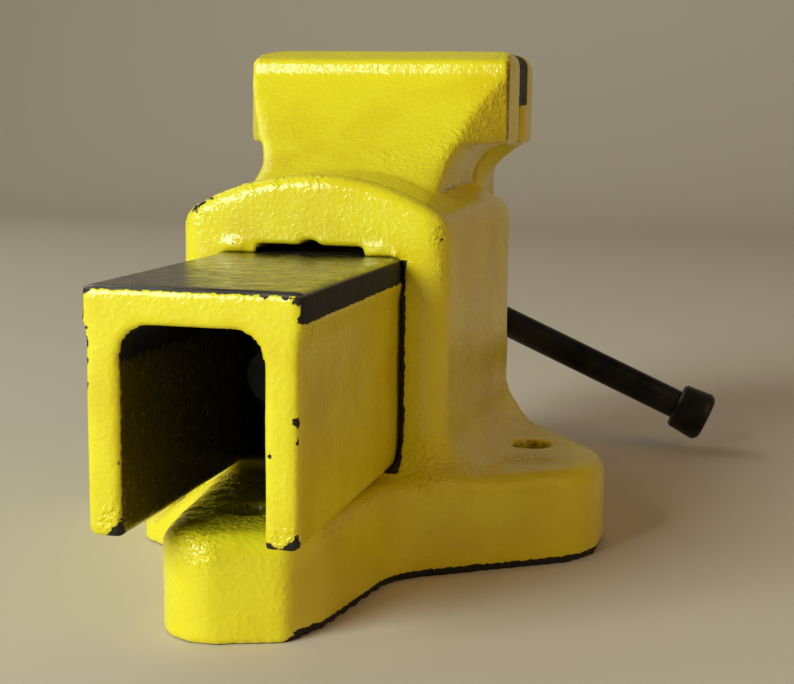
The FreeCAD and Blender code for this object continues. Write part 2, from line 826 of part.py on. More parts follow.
def make_knob(face, way):
    """A knob that widens to its rounded end, bored to fit the spigot on the bar's end."""
    axis = bar_axis() * way
    knob = Part.makeCone(knob_neck_r, knob_r, knob_length, on_bar(face), axis)
    def ring_at(distance):
        return edges_where(knob, lambda p: near((p - on_bar(face)).dot(axis), distance))
    knob = knob.makeFillet(knob_end_r, ring_at(knob_length))
    knob = knob.makeChamfer(knob_chamfer, ring_at(0))
    bore = Part.makeCylinder(knob_spigot_r + journal_gap, knob_spigot_length + knob_bore_spare,
                             on_bar(face), axis)
    return knob.cut(bore)


nodes = {}
nodes["body_casting"] = make_body()
nodes["sliding_jaw"] = make_jaw()
nodes["rear_jaw_plate"] = make_plate(rear_plate_face, body_front)
nodes["front_jaw_plate"] = make_plate(front_plate_face, front_recess)
for side, (x, z) in zip(("right", "left"), plate_screw_places()):
    nodes["rear_plate_screw_" + side] = make_plate_screw(rear_plate_face, 1, rear_screw_length, x, z)
    nodes["front_plate_screw_" + side] = make_plate_screw(front_plate_face, -1, front_screw_length, x, z)
nodes["main_nut"] = make_nut()
nodes["nut_bolt"] = make_nut_bolt()
nodes["nut_washer"] = ring_z(nut_bolt_r + nut_bolt_gap, washer_outer_r, washer_thick, 0,
                             nut_front + nut_length / 2, counterbore_depth - washer_thick)
nodes["main_screw"] = make_screw()
nodes["thrust_washer"] = ring_y(washer_bore_r, wide_washer_r, head_back, thrust_back)
nodes["spring_washer"] = ring_y(washer_bore_r, wide_washer_r, channel_front, inner_washer_back)
nodes["screw_spring"] = make_spring()
nodes["retaining_washer"] = ring_y(washer_bore_r, wide_washer_r, spring_back, keeper_back)
nodes["split_pin"] = make_split_pin()
nodes["handle_bar"] = make_bar()
nodes["handle_knob_lower"] = make_knob(lower_knob_face, 1)
nodes["handle_knob_upper"] = make_knob(upper_knob_face, -1)

os.makedirs("parts", exist_ok=True)
for name, shape in nodes.items():
    print(name, "solids", len(shape.Solids), "valid", shape.isValid(), "volume", round(shape.Volume))
    shape.exportStep("parts/" + name + ".step")
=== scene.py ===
import math

import bmesh
import bpy
from mathutils import Matrix, Vector, noise


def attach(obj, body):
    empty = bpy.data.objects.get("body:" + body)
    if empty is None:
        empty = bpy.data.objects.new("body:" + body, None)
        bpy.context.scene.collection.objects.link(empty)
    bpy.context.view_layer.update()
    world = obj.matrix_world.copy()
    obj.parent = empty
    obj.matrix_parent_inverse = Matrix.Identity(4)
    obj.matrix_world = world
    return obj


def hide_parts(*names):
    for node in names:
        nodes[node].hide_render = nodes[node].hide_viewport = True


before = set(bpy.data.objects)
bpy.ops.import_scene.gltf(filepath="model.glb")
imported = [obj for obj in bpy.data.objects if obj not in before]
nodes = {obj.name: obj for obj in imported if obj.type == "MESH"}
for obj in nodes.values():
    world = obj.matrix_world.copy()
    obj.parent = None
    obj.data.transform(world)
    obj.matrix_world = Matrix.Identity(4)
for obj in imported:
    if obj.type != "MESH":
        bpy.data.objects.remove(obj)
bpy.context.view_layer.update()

mm = 0.001


def linear(hexColour):
    # an sRGB hex colour as the linear values that a shader takes, by the sRGB curve
    parts = [int(hexColour[i:i + 2], 16) / 255 for i in (1, 3, 5)]
    return [p / 12.92 if p <= 0.04045 else ((p + 0.055) / 1.055) ** 2.4 for p in parts] + [1.0]


def addNode(tree, kind, inputs=None, output=0, **settings):
    # one node; an input's value is a number, a colour, or the output of another node to link
    node = tree.nodes.new(kind)
    for name, value in settings.items():
        setattr(node, name, value)
    for name, value in (inputs or {}).items():
        if isinstance(value, bpy.types.NodeSocket):
            tree.links.new(value, node.inputs[name])
        else:
            node.inputs[name].default_value = value
    return node.outputs[output] if len(node.outputs) else node


def newMaterial(name):
    material = bpy.data.materials.new(name)
    material.use_nodes = True
    return material, material.node_tree, material.node_tree.nodes["Principled BSDF"]


# the photograph's camera: its place in metres and its turns in degrees
cameraView = {"place": (-0.1120, 0.3769, 0.1132), "yaw": -13.77, "pitch": -8.46, "roll": 0.68,
              "focalPixels": 1500, "imageWidth": 794, "sensor": 36.0, "nearest": 0.01}


def makeCamera():
    # yaw turns from looking along -Y; the roll is that of the photograph
    yaw, pitch, roll = (math.radians(cameraView[k]) for k in ("yaw", "pitch", "roll"))
    forward = Vector((math.sin(-yaw) * math.cos(pitch), -math.cos(yaw) * math.cos(pitch), math.sin(pitch)))
    level = forward.cross(Vector((0, 0, 1))).normalized()
    upright = level.cross(forward)
    right = level * math.cos(roll) + upright * math.sin(roll)
    up = upright * math.cos(roll) - level * math.sin(roll)
    data = bpy.data.cameras.new("camera")
    data.sensor_width = cameraView["sensor"]
    data.lens = cameraView["sensor"] * cameraView["focalPixels"] / cameraView["imageWidth"]
    data.clip_start = cameraView["nearest"]
    camera = bpy.data.objects.new("camera", data)
    axes = Matrix((right, up, -forward)).transposed().to_4x4()
    camera.matrix_world = Matrix.Translation(cameraView["place"]) @ axes
    bpy.context.scene.collection.objects.link(camera)
    bpy.context.scene.camera = camera


makeCamera()
print("camera placed")

# a large soft lamp from the rear left, a second one high at the left that draws the highlights on
# the rounded edges, and a weak warm one from the right, as light comes back from a wooden bench;
# lengths in metres
studio = {"floorColour": "#d3c9b7", "floorRoughness": 0.75, "floorHalf": 3.0, "floorNear": 2.5,
          "floorFar": -1.2, "bendRadius": 0.6, "bendSteps": 16, "wallRise": 1.6,
          "worldColour": "#f0e4d2", "worldStrength": 0.15, "aim": (0.0, 0.0, 0.06),
          "lamps": {"key": {"watts": 27.0, "place": (0.85, 1.25, 0.65), "size": 0.9, "colour": "#f6fff8"},
                    "rim": {"watts": 3.0, "place": (1.0, -0.45, 0.9), "size": 1.1, "colour": "#ffffff"},
                    "fill": {"watts": 3.0, "place": (-1.1, 0.35, 0.7), "size": 1.2, "colour": "#ffc274"}}}


def makeLamp(name, lamp):
    data = bpy.data.lights.new(name, "AREA")
    data.shape = "DISK"
    data.size = lamp["size"]
    data.energy = lamp["watts"]
    data.color = linear(lamp["colour"])[:3]
    piece = bpy.data.objects.new(name, data)
    piece.location = lamp["place"]
    aim = Vector(studio["aim"]) - Vector(lamp["place"])
    piece.rotation_euler = aim.to_track_quat("-Z", "Y").to_euler()
    bpy.context.scene.collection.objects.link(piece)


def makeFloor():
    # matt painted floor that curves up into a backdrop well behind the vise
    side, far = studio["floorHalf"], studio["floorFar"]
    sweep = bmesh.new()
    near = sweep.verts.new((-side, studio["floorNear"], 0))
    edge = sweep.edges.new((near, sweep.verts.new((-side, far, 0))))
    turned = bmesh.ops.spin(sweep, geom=[edge.verts[1]], cent=(-side, far, studio["bendRadius"]),
                            axis=(1, 0, 0), angle=-math.radians(90), steps=studio["bendSteps"],
                            use_merge=False, use_duplicate=False)
    top = [v for v in turned["geom_last"] if isinstance(v, bmesh.types.BMVert)]
    rise = bmesh.ops.extrude_vert_indiv(sweep, verts=top)
    bmesh.ops.translate(sweep, verts=rise["verts"], vec=(0, 0, studio["wallRise"]))
    wide = bmesh.ops.extrude_edge_only(sweep, edges=sweep.edges[:])
    moved = [v for v in wide["geom"] if isinstance(v, bmesh.types.BMVert)]
    bmesh.ops.translate(sweep, verts=moved, vec=(2 * side, 0, 0))
    bmesh.ops.recalc_face_normals(sweep, faces=sweep.faces[:])
    mesh = bpy.data.meshes.new("floor")
    sweep.to_mesh(mesh)
    sweep.free()
    for face in mesh.polygons:
        face.use_smooth = True
    floor = bpy.data.objects.new("floor", mesh)
    bpy.context.scene.collection.objects.link(floor)
    material, tree, shader = newMaterial("pale matt floor paint")  # an even warm grey without gloss
    shader.inputs["Base Color"].default_value = linear(studio["floorColour"])
    shader.inputs["Roughness"].default_value = studio["floorRoughness"]
    mesh.materials.append(material)


def makeWorld():
    world = bpy.data.worlds.new("soft studio")
    world.use_nodes = True
    world.node_tree.nodes["Background"].inputs["Color"].default_value = linear(studio["worldColour"])
    world.node_tree.nodes["Background"].inputs["Strength"].default_value = studio["worldStrength"]
    bpy.context.scene.world = world
    bpy.context.scene.view_settings.view_transform = "Standard"


makeFloor()
makeWorld()
for name, lamp in studio["lamps"].items():
    makeLamp(name, lamp)
print("studio set")

# what each vertex of a casting tells its enamel, from 0 to 1; the fourth mark is painted shade, darker paint
# where shade falls in hollows and recesses
marks = ("chipped", "bare", "rough", "hollow", "machined")
noiseReach = (0.3, 0.7)  # about the least and greatest value that a noise takes

# a fade is where a noise or a mark starts to count and where it counts in full; a gloss is a
# roughness, or the least and greatest one
# the dark olive colour, its fade and its share are painted shade, laid on the paint in hollows, holes and
# recesses where shade falls
enamel = {"colour": "#e8db22", "thin": "#dfcb16", "paintedShade": "#3d350a", "castIron": "#0d0c0b",
          "castIronLight": "#1b1815", "machinedIron": "#57534b", "machinedLight": "#8b877d",
          "blotchSize": 24 * mm, "blotchFade": (0.42, 0.68), "shadeFade": (0.1, 0.42), "shadeMost": 0.94,
          "peelSize": 2.6 * mm, "peelDepth": 0.055 * mm, "paintGloss": (0.16, 0.28),
          "dropSize": 1.3 * mm, "dropDepth": 0.24 * mm, "dropFade": (0.4, 0.68),
          "chipSize": 1.7 * mm, "chipNoise": 0.9, "chipFade": (0.93, 0.955),
          "bareNoise": 1.4, "bareFade": (1.2, 1.23), "paintThickness": 0.25 * mm,
          "ironSize": 5 * mm, "ironFade": (0.35, 0.65), "ironGloss": 0.75, "slideGloss": (0.2, 0.36),
          "scratchSize": 1.1 * mm, "scratchStretch": 0.08, "scratchFade": (0.36, 0.5),
          "scratchDepth": 0.007 * mm}


def paintColour(tree, place, hollow, flakes):
    # slow blotches where the brush left a thinner coat, and uneven painted shade in the hollows and recesses
    blotches = addNode(tree, "ShaderNodeTexNoise", {"Vector": place, "Scale": 1 / enamel["blotchSize"],
                                                    "Detail": 3.0})
    low, high = enamel["blotchFade"]
    share = addNode(tree, "ShaderNodeMapRange", {"Value": blotches, "From Min": low, "From Max": high},
                    interpolation_type="SMOOTHSTEP")
    paint = addNode(tree, "ShaderNodeMix", {0: share, 6: linear(enamel["colour"]), 7: linear(enamel["thin"])},
                    output=2, data_type="RGBA")
    # painted shade: the paint turns dark olive, in patches, where the vertices are marked as shaded
    patchy = addNode(tree, "ShaderNodeMath", {0: hollow, 1: flakes}, operation="MULTIPLY")
    low, high = enamel["shadeFade"]
    shadeAmount = addNode(tree, "ShaderNodeMapRange", {"Value": patchy, "From Min": low, "From Max": high,
                                                 "To Max": enamel["shadeMost"]},
                    interpolation_type="SMOOTHSTEP")
    return addNode(tree, "ShaderNodeMix", {0: shadeAmount, 6: paint, 7: linear(enamel["paintedShade"])},
                   output=2, data_type="RGBA")


def ironMask(tree, flakes, chipped, bare):
    # 1 where iron shows and 0 where paint does, with outlines from the noise; a mark of 1 bares all
    # and a mark of 0 nothing
    reach = addNode(tree, "ShaderNodeMath", {0: flakes, 1: enamel["chipNoise"], 2: chipped},
                    operation="MULTIPLY_ADD")
    low, high = enamel["chipFade"]
    chips = addNode(tree, "ShaderNodeMapRange", {"Value": reach, "From Min": low, "From Max": high})
    reach = addNode(tree, "ShaderNodeMath", {0: flakes, 1: enamel["bareNoise"], 2: bare},
                    operation="MULTIPLY_ADD")
    low, high = enamel["bareFade"]
    unpainted = addNode(tree, "ShaderNodeMapRange", {"Value": reach, "From Min": low, "From Max": high})
    return addNode(tree, "ShaderNodeMath", {0: chips, 1: unpainted}, operation="MAXIMUM")


def ironColour(tree, machined, mottle, scratches):
    # nearly black cast iron, mottled, and the brighter scratched iron of the slideway
    low, high = enamel["ironFade"]
    share = addNode(tree, "ShaderNodeMapRange", {"Value": mottle, "From Min": low, "From Max": high},
                    interpolation_type="SMOOTHSTEP")
    cast = addNode(tree, "ShaderNodeMix", {0: share, 6: linear(enamel["castIron"]),
                                           7: linear(enamel["castIronLight"])}, output=2, data_type="RGBA")
    low, high = enamel["scratchFade"]
    share = addNode(tree, "ShaderNodeMapRange", {"Value": scratches, "From Min": low, "From Max": high})
    slideway = addNode(tree, "ShaderNodeMix", {0: share, 6: linear(enamel["machinedIron"]),
                                               7: linear(enamel["machinedLight"])},
                       output=2, data_type="RGBA")
    return addNode(tree, "ShaderNodeMix", {0: machined, 6: cast, 7: slideway}, output=2, data_type="RGBA")


def enamelGloss(tree, mask, machined, peel, mottle):
    # glossy paint, dull cast iron and a slideway that shines in patches
    low, high = noiseReach
    paint = addNode(tree, "ShaderNodeMapRange", {"Value": peel, "From Min": low, "From Max": high,
                                                 "To Min": enamel["paintGloss"][0],
                                                 "To Max": enamel["paintGloss"][1]})
    slideway = addNode(tree, "ShaderNodeMapRange", {"Value": mottle, "From Min": low, "From Max": high,
                                                    "To Min": enamel["slideGloss"][0],
                                                    "To Max": enamel["slideGloss"][1]})
    iron = addNode(tree, "ShaderNodeMix", {0: machined, 2: enamel["ironGloss"], 3: slideway})
    return addNode(tree, "ShaderNodeMix", {0: mask, 2: paint, 3: iron})


def enamelRelief(tree, place, mask, rough, peel, scratches):
    # scratches, orange peel, the drops of the rough places and the step down from paint to iron
    drops = addNode(tree, "ShaderNodeTexNoise", {"Vector": place, "Scale": 1 / enamel["dropSize"],
                                                 "Detail": 1.0})
    low, high = enamel["dropFade"]
    raised = addNode(tree, "ShaderNodeMapRange", {"Value": drops, "From Min": low, "From Max": high},
                     interpolation_type="SMOOTHSTEP")
    raised = addNode(tree, "ShaderNodeMath", {0: raised, 1: rough}, operation="MULTIPLY")
    step = addNode(tree, "ShaderNodeMath", {0: 1.0, 1: mask}, operation="SUBTRACT")
    normal = addNode(tree, "ShaderNodeBump", {"Height": scratches, "Distance": enamel["scratchDepth"]})
    for height, depth in ((peel, "peelDepth"), (raised, "dropDepth"), (step, "paintThickness")):
        normal = addNode(tree, "ShaderNodeBump", {"Height": height, "Distance": enamel[depth],
                                                  "Normal": normal})
    return normal


def makeEnamel():
    # Gloss enamel brushed over rough cast iron. The slow blotches and the orange peel make it look
    # hand-painted, the drops on rough places catch the light as sparkles, painted shade darkens the hollows
    # and recesses, and chips, the unpainted inside and the machined slideway show dark iron.
    material, tree, shader = newMaterial("gloss enamel on cast iron")
    place = addNode(tree, "ShaderNodeTexCoord", output="Object")
    marked = {mark: addNode(tree, "ShaderNodeAttribute", output="Fac", attribute_name=mark)
              for mark in marks}
    peel = addNode(tree, "ShaderNodeTexNoise", {"Vector": place, "Scale": 1 / enamel["peelSize"],
                                                "Detail": 2.0, "Roughness": 0.45})
    flakes = addNode(tree, "ShaderNodeTexNoise", {"Vector": place, "Scale": 1 / enamel["chipSize"],
                                                  "Detail": 5.0, "Roughness": 0.65})
    mottle = addNode(tree, "ShaderNodeTexNoise", {"Vector": place, "Scale": 1 / enamel["ironSize"],
                                                  "Detail": 5.0, "Roughness": 0.6})
    # real scratches are about 0.1 mm wide and too fine to show, so these are as coarse as they need
    # to be; they run across the beam
    along = addNode(tree, "ShaderNodeVectorMath", {0: place, 1: (enamel["scratchStretch"], 1, 1)},
                    operation="MULTIPLY")
    scratches = addNode(tree, "ShaderNodeTexNoise", {"Vector": along, "Scale": 1 / enamel["scratchSize"],
                                                     "Detail": 4.0, "Roughness": 0.7})
    mask = ironMask(tree, flakes, marked["chipped"], marked["bare"])
    paint = paintColour(tree, place, marked["hollow"], flakes)
    iron = ironColour(tree, marked["machined"], mottle, scratches)
    colour = addNode(tree, "ShaderNodeMix", {0: mask, 6: paint, 7: iron}, output=2, data_type="RGBA")
    metal = addNode(tree, "ShaderNodeMath", {0: mask, 1: marked["machined"]}, operation="MULTIPLY")
    gloss = enamelGloss(tree, mask, marked["machined"], peel, mottle)
    normal = enamelRelief(tree, place, mask, marked["rough"], peel, scratches)
    tree.links.new(colour, shader.inputs["Base Color"])
    tree.links.new(gloss, shader.inputs["Roughness"])
    tree.links.new(metal, shader.inputs["Metallic"])
    tree.links.new(normal, shader.inputs["Normal"])
    return material


# patch is the size of the oily patches; real grain is about 0.1 mm or less and too fine to show, so
# it is drawn several times as coarse
steels = {
    # nearly black and dull, warm in the light
    "black oxide tool steel": {"dark": "#151311", "light": "#221f1c", "worn": "#5e5a55",
                               "gloss": (0.42, 0.58), "patch": 9 * mm, "grain": 0.8 * mm,
                               "depth": 0.01 * mm},
    # dark grey with a long oily highlight
    "oil-blackened turned steel": {"dark": "#262726", "light": "#393a37", "worn": "#97918a",
                                   "gloss": (0.28, 0.46), "patch": 14 * mm, "grain": 1.2 * mm,
                                   "depth": 0.015 * mm},
    # pale and cloudy
    "dull zinc-plated steel": {"dark": "#8f8f8b", "light": "#a9a9a4", "worn": "#c8c8c4",
                               "gloss": (0.3, 0.42), "patch": 8 * mm, "grain": 0.6 * mm,
                               "depth": 0.006 * mm},
    # mid grey and smooth, as the die leaves it
    "drawn spring wire": {"dark": "#5a5855", "light": "#75726d", "worn": "#8f8c87",
                          "gloss": (0.28, 0.36), "patch": 6 * mm, "grain": 0.5 * mm,
                          "depth": 0.004 * mm},
    # mid grey and matt, with the open grain of iron
    "machined grey cast iron": {"dark": "#4f4b46", "light": "#67625b", "worn": "#86817a",
                                "gloss": (0.45, 0.6), "patch": 10 * mm, "grain": 0.9 * mm,
                                "depth": 0.03 * mm},
}
patchFade = (0.35, 0.65)  # the noise at which a patch is still all dark, and all light
# an edge is worn where the rounded normal leaves the flat one: turn is the product of the two at
# which wear starts and is full, and least the share of it that the darkest patches keep
edgeWear = {"radius": 0.5 * mm, "samples": 6, "turn": (0.98, 0.86), "patchFade": (0.4, 0.6), "least": 0.25}


def makeSteel(name):
    # steel whose colour and gloss vary in patches, as oil and handling leave them; the sharp edges
    # are rubbed to a brighter metal, which outlines each small part
    steel = steels[name]
    material, tree, shader = newMaterial(name)
    place = addNode(tree, "ShaderNodeTexCoord", output="Object")
    patches = addNode(tree, "ShaderNodeTexNoise", {"Vector": place, "Scale": 1 / steel["patch"],
                                                   "Detail": 5.0, "Roughness": 0.6})
    grain = addNode(tree, "ShaderNodeTexNoise", {"Vector": place, "Scale": 1 / steel["grain"],
                                                 "Detail": 2.0})
    low, high = patchFade
    share = addNode(tree, "ShaderNodeMapRange", {"Value": patches, "From Min": low, "From Max": high},
                    interpolation_type="SMOOTHSTEP")
    colour = addNode(tree, "ShaderNodeMix", {0: share, 6: linear(steel["dark"]), 7: linear(steel["light"])},
                     output=2, data_type="RGBA")
    rounded = addNode(tree, "ShaderNodeBevel", {"Radius": edgeWear["radius"]}, samples=edgeWear["samples"])
    flat = addNode(tree, "ShaderNodeNewGeometry", output="Normal")
    facing = addNode(tree, "ShaderNodeVectorMath", {0: rounded, 1: flat}, output="Value",
                     operation="DOT_PRODUCT")
    low, high = edgeWear["turn"]
    rubbed = addNode(tree, "ShaderNodeMapRange", {"Value": facing, "From Min": low, "From Max": high},
                     interpolation_type="SMOOTHSTEP")
    low, high = edgeWear["patchFade"]
    uneven = addNode(tree, "ShaderNodeMapRange", {"Value": patches, "From Min": low, "From Max": high,
                                                  "To Min": edgeWear["least"]},
                     interpolation_type="SMOOTHSTEP")
    rubbed = addNode(tree, "ShaderNodeMath", {0: rubbed, 1: uneven}, operation="MULTIPLY")
    colour = addNode(tree, "ShaderNodeMix", {0: rubbed, 6: colour, 7: linear(steel["worn"])},
                     output=2, data_type="RGBA")
    low, high = noiseReach
    gloss = addNode(tree, "ShaderNodeMapRange", {"Value": patches, "From Min": low, "From Max": high,
                                                 "To Min": steel["gloss"][0], "To Max": steel["gloss"][1]})
    normal = addNode(tree, "ShaderNodeBump", {"Height": grain, "Distance": steel["depth"],
                                              "Normal": rounded})
    tree.links.new(colour, shader.inputs["Base Color"])
    tree.links.new(gloss, shader.inputs["Roughness"])
    tree.links.new(normal, shader.inputs["Normal"])
    shader.inputs["Metallic"].default_value = 1.0
    return material


enamelled = makeEnamel()
madeSteels = {name: makeSteel(name) for name in steels}
print("materials made")

# voxel is the size of the even faces, weld the distance under which vertices merge and paint the coat
# over the iron; edgeGain and the gain after it turn the bend of the surface into edge wear and into painted
# shade in the hollows; chipFlat, chipEdge and wornNear add up at a chip's place, and wornEdge is the wear of
# every other edge
casting = {"voxel": 0.98 * mm, "weld": 0.002 * mm, "relaxSteps": 1, "relaxShare": 0.5, "paint": 0.28 * mm,
           "waveSize": 14 * mm, "waveDepth": 0.14 * mm, "lumpSize": 3.6 * mm, "lumpDepth": 0.26 * mm,
           "evenRough": 0.17, "roughGain": 1.6, "edgeGain": 3.2, "hollowGain": 5.0,
           "chipFlat": 0.45, "chipEdge": 0.55, "wornNear": 0.38, "wornEdge": 0.3}


def ease(value, low, high):
    # 0 below low and 1 above high, smooth between them; low may be the greater
    share = min(max((value - low) / (high - low), 0.0), 1.0)
    return share * share * (3 - 2 * share)


def nearPlaces(point, places):
    # 1 at the middle of a place, 0 from its radius outwards; the greatest of all places, in mm
    best = 0.0
    for x, y, z, radius in places:
        gap = math.dist(point, (x, y, z)) / radius
        best = max(best, 1 - gap)
    return best


def evenPiece(name, node, runs):
    # the cast shape and its dried runs of paint, joined into one piece with small even faces
    mesh = nodes[node].data.copy()
    mesh.name = name
    mesh.materials.clear()
    piece = bpy.data.objects.new(name, mesh)
    bpy.context.scene.collection.objects.link(piece)
    shell = bmesh.new()
    shell.from_mesh(mesh)
    bmesh.ops.remove_doubles(shell, verts=shell.verts[:], dist=casting["weld"])
    for x, y, z, width, depth, height in runs:
        # a ball of 1 mm, stretched to the size of the run
        stretched = Matrix.Translation(Vector((x, y, z)) * mm) @ Matrix.Diagonal((width, depth, height, 1))
        bmesh.ops.create_icosphere(shell, subdivisions=3, radius=0.5 * mm, matrix=stretched)
    shell.to_mesh(mesh)
    shell.free()
    remesh = piece.modifiers.new("even faces", "REMESH")
    remesh.mode = "VOXEL"
    remesh.voxel_size = casting["voxel"]
    even = bpy.data.meshes.new_from_object(piece.evaluated_get(bpy.context.evaluated_depsgraph_get()))
    piece.modifiers.clear()
    piece.data = even
    even.name = name
    return piece


def findMarks(vert, places, ways):
    # the marks of one vertex: edges and chips, bare and machined iron, rough places and painted shade
    place = vert.co / mm
    # how far the neighbours stand above the vertex: above 0 in a hollow and below 0 on an edge
    bend = sum((e.other_vert(vert).co - vert.co).normalized().dot(vert.normal) for e in vert.link_edges)
    bend = bend / len(vert.link_edges)
    edge = min(max(-bend * casting["edgeGain"], 0), 1)
    chip = nearPlaces(place, places["chips"])
    chipped = casting["wornEdge"] * edge
    if chip > 0:
        lost = chip * (casting["chipFlat"] + casting["chipEdge"] * edge)
        chipped = min(1.0, casting["wornNear"] * edge + lost)
    flat = ways["machined"](place, vert.normal)
    even = casting["evenRough"]
    lumpy = even + (1 - even) * min(1, casting["roughGain"] * nearPlaces(place, places["rough"]))
    # painted shade from the bend of a hollow and from the places that each casting lists as shaded
    paintedShade = max(bend * casting["hollowGain"], ways["shadeAt"](place, vert.normal))
    return {"chipped": chipped, "bare": min(ways["bare"](place, vert.normal), 1.0),
            "rough": lumpy * (1 - flat), "hollow": min(max(paintedShade, 0), 1) * (1 - flat), "machined": flat}


def coatDepth(vert, found, ways):
    # how far paint and casting waves push the vertex outwards; bare and machined iron stays in place
    wave = noise.noise(vert.co / casting["waveSize"]) * casting["waveDepth"]
    lump = noise.noise(vert.co / casting["lumpSize"]) * casting["lumpDepth"] * found["rough"]
    coat = (wave + lump + casting["paint"]) * (1 - found["machined"]) * (1 - found["bare"])
    return coat + ways["swell"](vert.co / mm, vert.normal) * mm


def makeCasting(name, node, body, places, ways):
    # the cast shape with its edges rounded by thick paint, and the waves and lumps of a sand casting
    piece = evenPiece(name, node, places["runs"])
    shell = bmesh.new()
    shell.from_mesh(piece.data)
    for step in range(casting["relaxSteps"]):
        bmesh.ops.smooth_vert(shell, verts=shell.verts[:], factor=casting["relaxShare"],
                              use_axis_x=True, use_axis_y=True, use_axis_z=True)
    shell.normal_update()
    layers = {mark: shell.verts.layers.float.new(mark) for mark in marks}
    moves = []
    for vert in shell.verts:
        found = findMarks(vert, places, ways)
        for mark in marks:
            vert[layers[mark]] = found[mark]
        moves.append(vert.normal * coatDepth(vert, found, ways))
    for vert, move in zip(shell.verts, moves):
        vert.co += move
        vert.co.z = max(vert.co.z, 0)  # nothing reaches below the bench face
    for face in shell.faces:
        face.smooth = True
    shell.to_mesh(piece.data)
    shell.free()
    piece.data.materials.append(enamelled)
    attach(piece, body)
    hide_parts(node)
    print(name, len(piece.data.polygons), "faces")


# Places on the body casting, in mm along the frame's axes; left is +X. A chip or a rough place is x, y,
# z and its radius; a run of paint is x, y, z and its width, depth and height; a half is half a width
# from the middle; a pair is where a mark starts and where it is full.
bodyPlaces = {
    "tunnel": {"floor": 25, "bareHalf": 24.7, "bareTop": 80.2, "bareRear": 13.4,
               "machinedHalf": 24.6, "machinedTop": 80.0, "machinedRear": 12},
    # the holes' last number is how much painted shade darkens their walls
    "boltHoles": {"middles": ((0, 59), (51.1, -29.5), (-51.1, -29.5)), "reach": 5.8, "top": 24.6,
                  "paintEnd": 12, "paintedShade": 0.5},
    "underside": {"top": 0.3},
    "foot": {"right": (-12, -18), "line": 2.6, "blend": 0.8, "ragged": [(-19, 76, 1, 8)],
             "raggedShare": 0.6},
    "jamb": {"front": 8, "top": 78, "right": (-25.7, -24.5), "left": (-20, -23)},
    # the ledge behind the arch's lip and the back of the rim are where painted shade darkens the paint
    "ledge": {"upwards": (0.6, 0.8), "front": (6.4, 8), "rear": (11, 9.4), "bottom": (82, 84),
              "left": (14, -6), "right": (-36, -26), "share": 0.6},
    "rim": {"middle": (-38, -56.3), "radius": (1.6, 0.6), "bottom": (105, 108), "share": 0.7},
    "bulge": {"height": 1.2, "leftwards": (0.3, 0.9), "right": (30, 36), "bottom": (96, 103),
              "front": (-74, -70)},
    "chips": [(38.2, -55.5, 121, 4), (37.6, -55.5, 118, 2.6), (38.6, -55.5, 104.6, 2.6),
              (26.8, 12.5, 92.8, 3.4), (29.3, 12.5, 91, 2.8), (31, 12.5, 89.4, 3.2), (32.4, 12.5, 85.7, 3),
              (-33.8, 12, 83.5, 2.6), (-32.7, 12, 86.5, 1.8), (20.5, 14, 82, 2.2), (-36, -70, 133, 3),
              (-17, 78, 2, 4)],
    "rough": [(-37.5, -50, 122, 9), (-36, -45, 114, 10), (-31, -42, 106, 10), (-26, -38, 100, 11),
              (-22, -30, 92, 11), (-12, -34, 94, 12), (-3, -38, 94, 13), (4, -42, 98, 12),
              (12, -40, 97, 10), (30, 12, 89, 4.5), (26, 12, 93, 4.5), (18, 12, 95, 4), (8, 12, 97, 4),
              (-2, 12, 98, 4), (-33, 12, 84, 4), (-35, 12, 76, 4), (-30, 40, 25, 11), (-33, 30, 26, 11),
              (-34, 20, 28, 11), (-26, 20, 27, 8), (-37, 5, 36, 9), (10, 40, 24, 16), (14, 55, 24, 16),
              (5, 70, 24, 14), (-8, 62, 24, 14), (-10, 45, 24, 14), (5, 83, 22, 7), (-40, 10, 27, 9),
              (-55, -10, 25, 9), (-36, -10, 95, 9), (-37, -62, 131, 7)],
    "runs": [(20, 14.2, 80.9, 7.0, 1.6, 2.4), (-19.2, 14.1, 80.9, 9.5, 1.3, 2.2),
             (-22.6, 14.2, 79.9, 2.6, 1.4, 2.2)],
}


def inBoltHole(place):
    holes = bodyPlaces["boltHoles"]
    for x, y in holes["middles"]:
        if math.hypot(place.x - x, place.y - y) < holes["reach"] and place.z < holes["top"]:
            return True
    return False


def bodyBare(place, normal):
    # the tunnel, the lower part of the bolt holes and the underside have no paint; at the right of the
    # foot a dark strip above the bench is partly bare iron under an uneven paint line and partly painted
    # contact shadow, and a strip beside the right edge of the tunnel is drawn dark as bare iron
    tunnel, holes, foot, jamb = (bodyPlaces[k] for k in ("tunnel", "boltHoles", "foot", "jamb"))
    inTunnel = abs(place.x) < tunnel["bareHalf"] and tunnel["floor"] < place.z < tunnel["bareTop"]
    if inTunnel and place.y < tunnel["bareRear"]:
        return 1.0
    if place.z < bodyPlaces["underside"]["top"] or (place.z < holes["paintEnd"] and inBoltHole(place)):
        return 1.0
    right = ease(place.x, *foot["right"])
    ragged = nearPlaces(place, foot["ragged"])
    strip = 0.0
    if tunnel["floor"] < place.z < jamb["top"] and place.y > jamb["front"]:
        strip = ease(place.x, *jamb["right"]) * ease(place.x, *jamb["left"])
    # the strip along the right of the foot, partly bare iron and partly painted contact shadow
    lowest = (foot["line"] * right - place.z) * foot["blend"]
    return max(0.0, lowest, strip) + foot["raggedShare"] * ragged * right


def bodyMachined(place, normal):
    tunnel = bodyPlaces["tunnel"]
    inTunnel = abs(place.x) < tunnel["machinedHalf"] and tunnel["floor"] < place.z < tunnel["machinedTop"]
    return 1.0 if inTunnel and place.y < tunnel["machinedRear"] else 0.0


